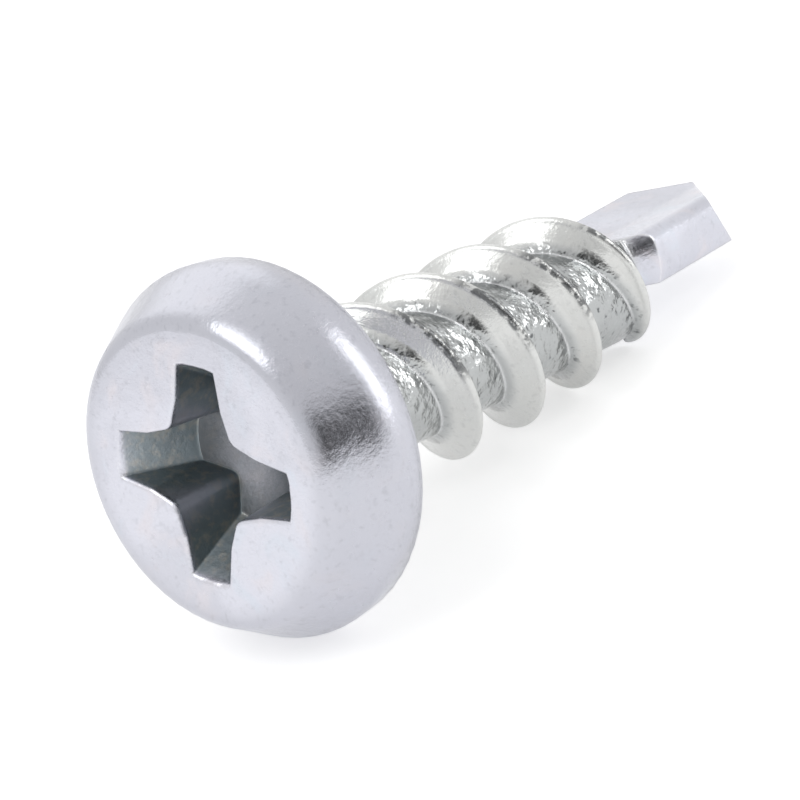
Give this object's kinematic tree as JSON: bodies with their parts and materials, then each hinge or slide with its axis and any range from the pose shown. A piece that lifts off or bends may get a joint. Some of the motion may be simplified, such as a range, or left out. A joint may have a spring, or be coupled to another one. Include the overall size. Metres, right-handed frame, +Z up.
{
  "type": "self drilling screw",
  "caption": "Zinc-plated pan head self drilling screw with a cross recess, a coarse twin-start thread and a fluted drill point.",
  "frame": {"origin": "on the floor, under the middle of the screw's bounding box as it lies", "axes": "+X along the screw's length, from the head towards the drill point, seen from above; +Z up; the screw's own axis points down by 12.1 degrees towards the tip"},
  "size_m": [0.0186, 0.008, 0.0079],
  "materials": {
    "zinc_plated_steel": "matte bright zinc plating"
  },
  "bodies": {
    "root": {"self_drilling_screw": "zinc_plated_steel"}
  },
  "joints": []
}
